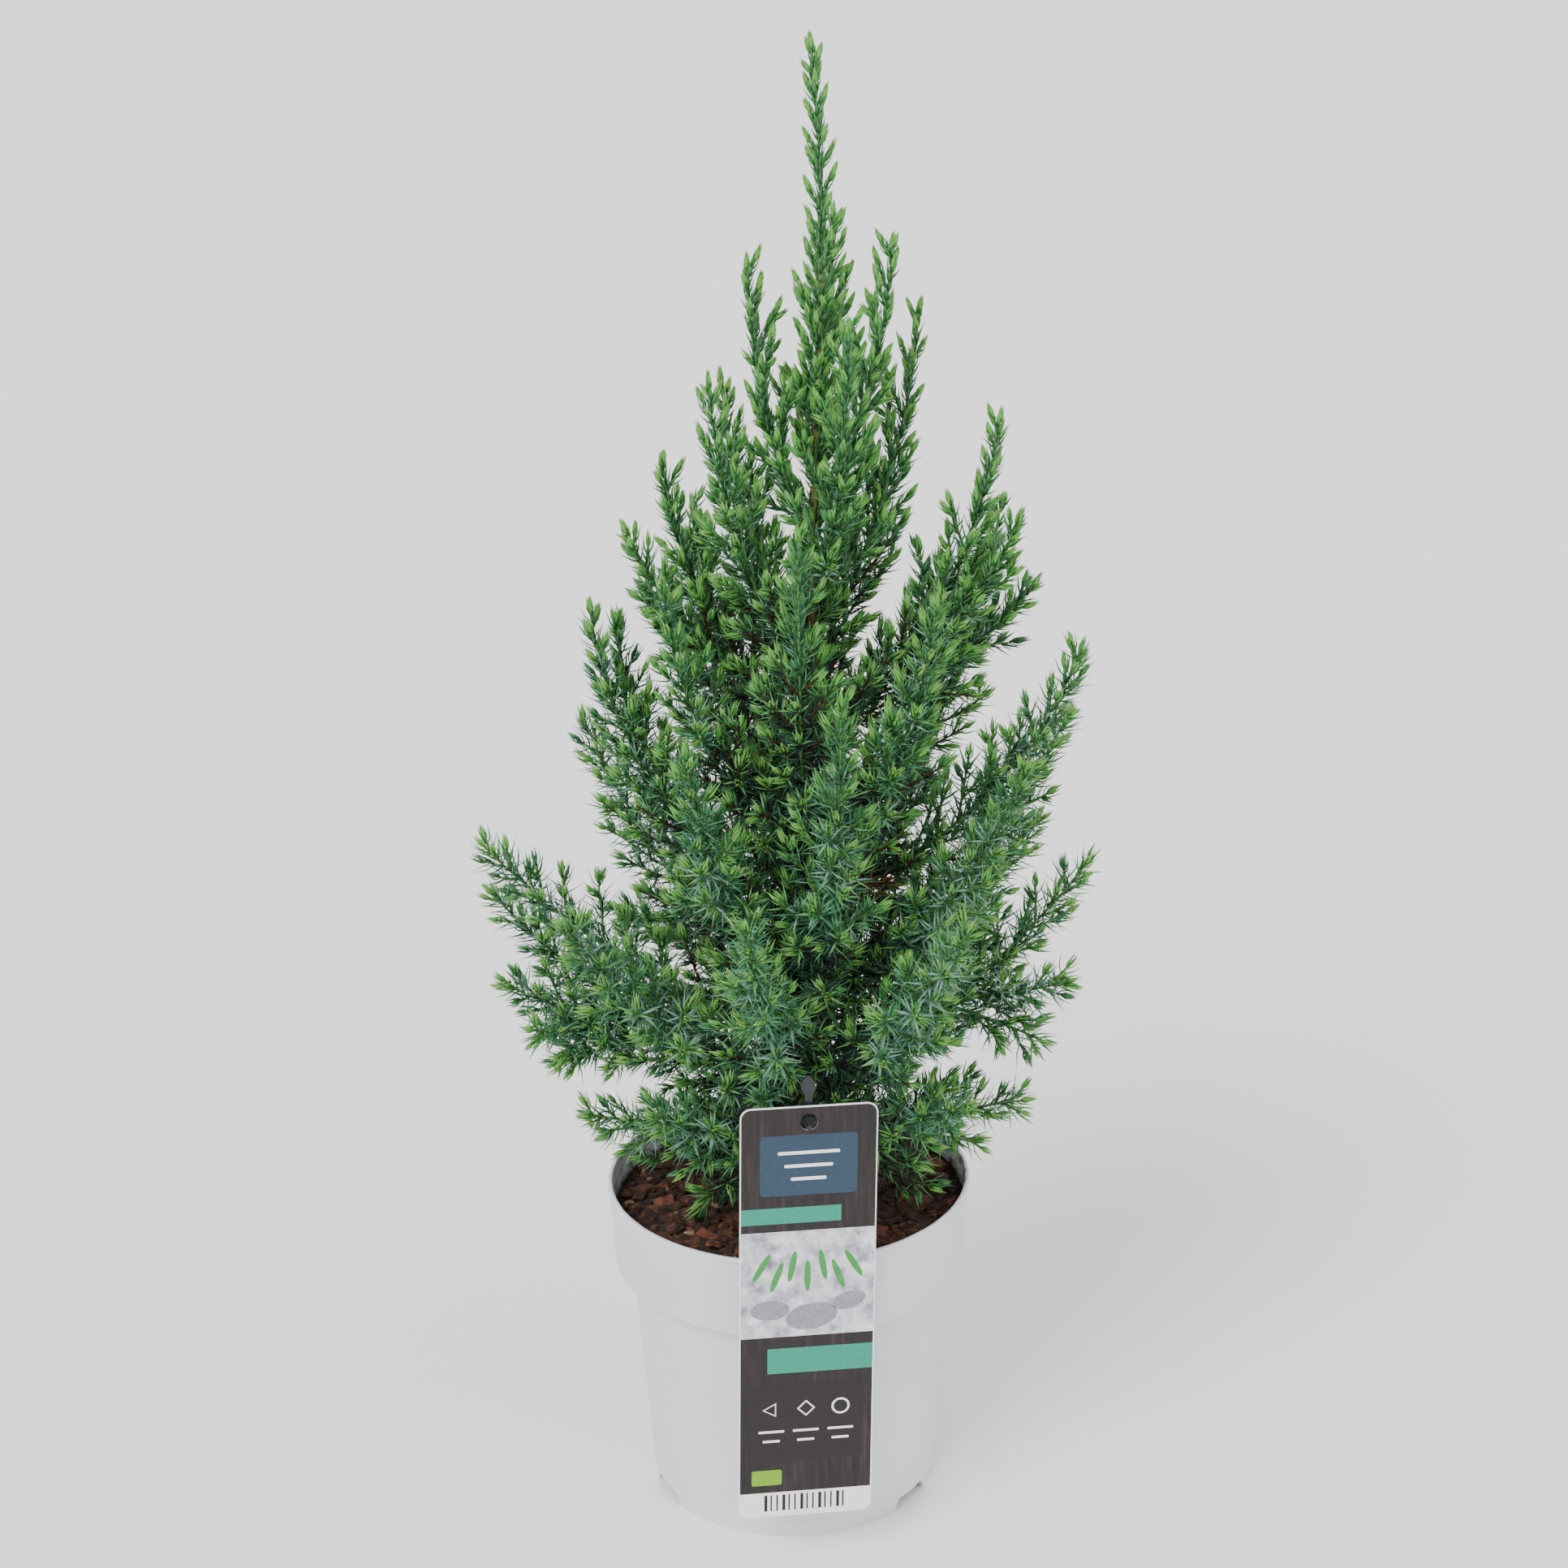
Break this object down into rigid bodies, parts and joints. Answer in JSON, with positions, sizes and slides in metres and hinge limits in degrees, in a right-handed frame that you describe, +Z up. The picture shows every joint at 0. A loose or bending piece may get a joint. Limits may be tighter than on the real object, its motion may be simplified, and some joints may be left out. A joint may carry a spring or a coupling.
{
  "type": "potted chinese juniper",
  "caption": "Young upright conifer with short awl needles, standing in a round plastic nursery pot with a long care card on a hook over the rim.",
  "frame": {"origin": "centre of the pot's foot ring, on the floor it stands on", "axes": "+Z up along the pot's axis and the trunk, -Y towards the front with the care card, +X to the right seen from the front"},
  "size_m": [0.2808, 0.2535, 0.6949],
  "materials": {
    "container": "satin moulded",
    "soil": "rough bark chips",
    "bark": "peeling bark",
    "foliage": "waxy needles",
    "card": "printed sheet",
    "hook": "moulded"
  },
  "bodies": {
    "root": {"bough_low_back_left": "bark", "bough_low_back_right": "bark", "bough_low_front_left": "bark", "bough_low_front_right": "bark", "bough_low_left": "bark", "bough_low_right": "bark", "bough_mid_left": "bark", "bough_wide_back": "bark", "bough_wide_back_left": "bark", "bough_wide_back_right": "bark", "bough_wide_front": "bark", "bough_wide_front_left": "bark", "bough_wide_front_right": "bark", "bough_wide_left": "bark", "bough_wide_right": "bark", "care_card": "card", "foliage_leader": "foliage", "foliage_low_back_left": "foliage", "foliage_low_back_right": "foliage", "foliage_low_front_left": "foliage", "foliage_low_front_right": "foliage", "foliage_low_left": "foliage", "foliage_low_right": "foliage", "foliage_mid_back": "foliage", "foliage_mid_back_left": "foliage", "foliage_mid_back_right": "foliage", "foliage_mid_front": "foliage", "foliage_mid_front_left": "foliage", "foliage_mid_front_right": "foliage", "foliage_mid_left": "foliage", "foliage_mid_right": "foliage", "foliage_tall_back": "foliage", "foliage_tall_back_left": "foliage", "foliage_tall_back_right": "foliage", "foliage_tall_front": "foliage", "foliage_tall_front_left": "foliage", "foliage_tall_front_right": "foliage", "foliage_tall_left": "foliage", "foliage_tall_right": "foliage", "foliage_top_back": "foliage", "foliage_top_front": "foliage", "foliage_top_left": "foliage", "foliage_top_right": "foliage", "foliage_upper_back_left": "foliage", "foliage_upper_back_right": "foliage", "foliage_upper_front": "foliage", "foliage_upper_left": "foliage", "foliage_upper_right": "foliage", "foliage_wide_back": "foliage", "foliage_wide_back_left": "foliage", "foliage_wide_back_right": "foliage", "foliage_wide_front": "foliage", "foliage_wide_front_left": "foliage", "foliage_wide_front_right": "foliage", "foliage_wide_left": "foliage", "foliage_wide_right": "foliage", "label_hook": "hook", "pot": "container", "soil": "soil", "trunk": "bark"}
  },
  "joints": []
}
